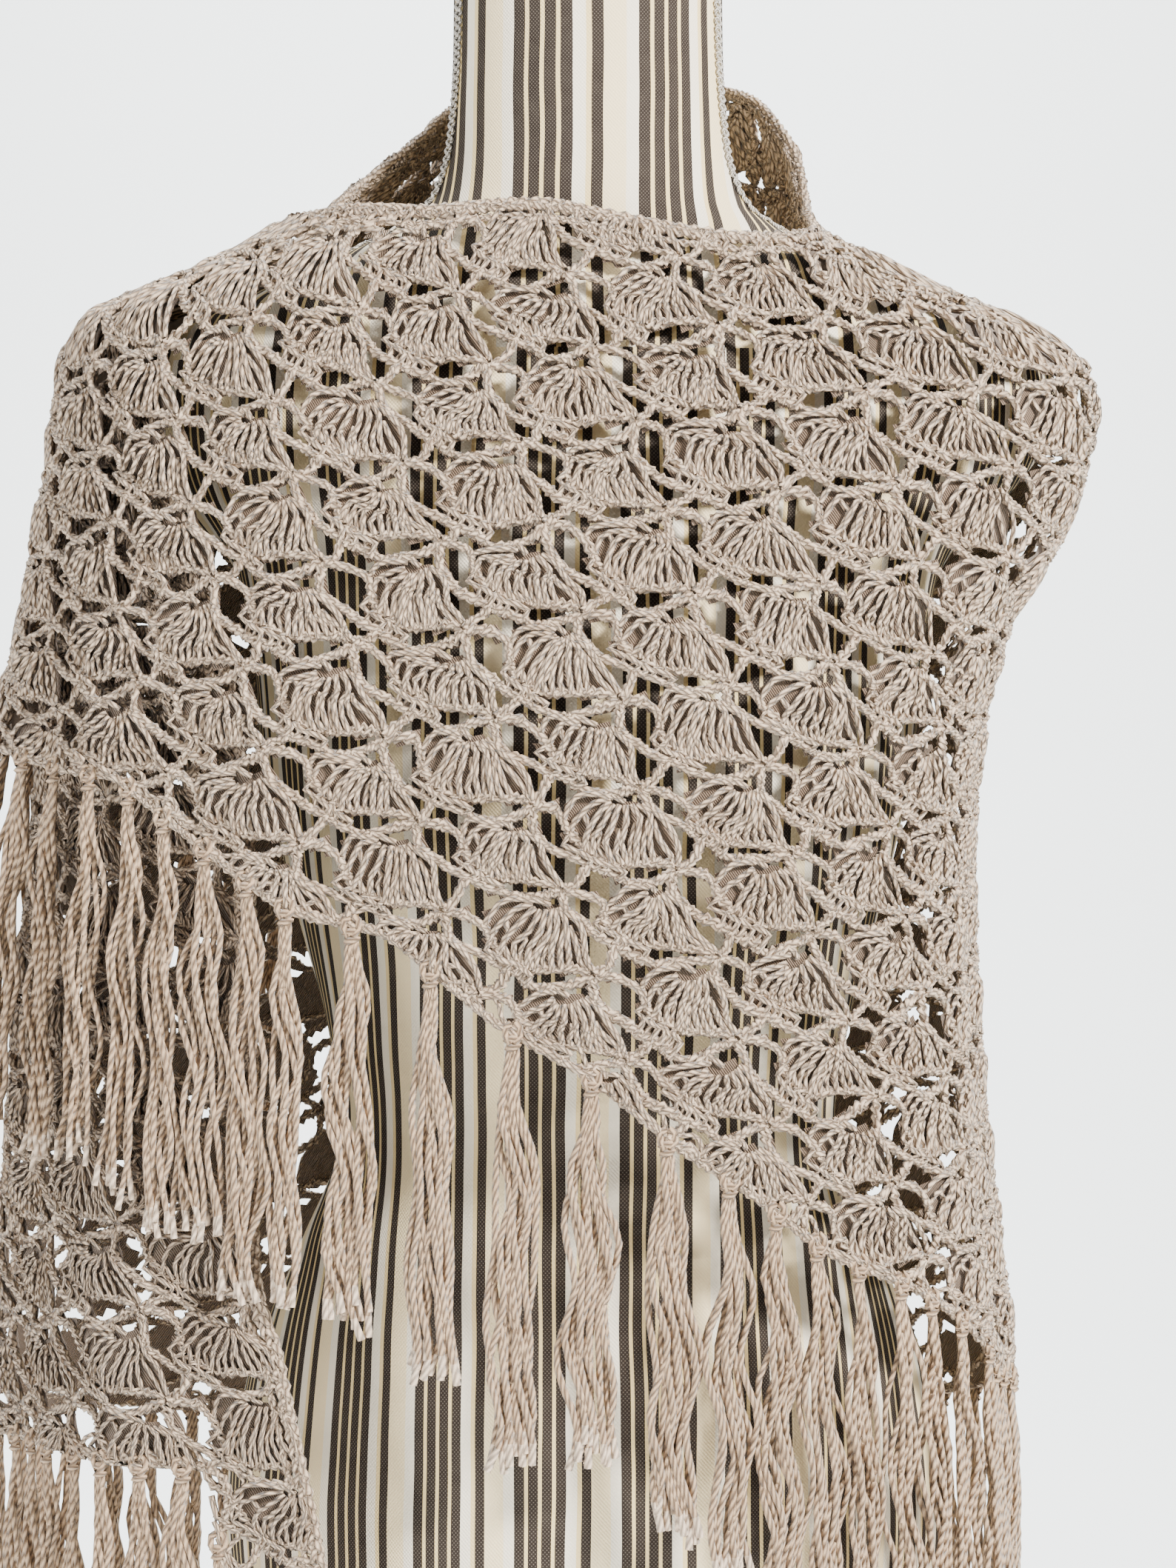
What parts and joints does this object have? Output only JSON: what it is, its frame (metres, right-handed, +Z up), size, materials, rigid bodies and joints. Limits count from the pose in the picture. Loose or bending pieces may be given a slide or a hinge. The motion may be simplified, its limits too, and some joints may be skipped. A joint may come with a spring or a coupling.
{
  "type": "lace shawl on a limbless dress form",
  "caption": "Triangular open-lace cotton shawl with knotted fringe, wrapped round a limbless dress form on a short pole and round base.",
  "frame": {"origin": "centre of the underside of the form's round base", "axes": "+Z up along the pole, -Y to the front of the dress form, +X to the right of someone who faces it"},
  "size_m": [0.5164, 0.33, 1.148],
  "materials": {
    "cotton_yarn": "matte twisted cotton yarn",
    "ticking_linen": "matte woven stripe",
    "dark_wood": "satin"
  },
  "bodies": {
    "root": {"shawl_front_stretch": "cotton_yarn", "shawl_back_stretch": "cotton_yarn", "shawl_under_end": "cotton_yarn", "shawl_over_end": "cotton_yarn", "fringe_front": "cotton_yarn", "fringe_back": "cotton_yarn", "fringe_under_end": "cotton_yarn", "fringe_over_end": "cotton_yarn", "form_body": "ticking_linen", "form_neck_cap": "dark_wood", "form_pole": "dark_wood", "form_base": "dark_wood"}
  },
  "joints": []
}
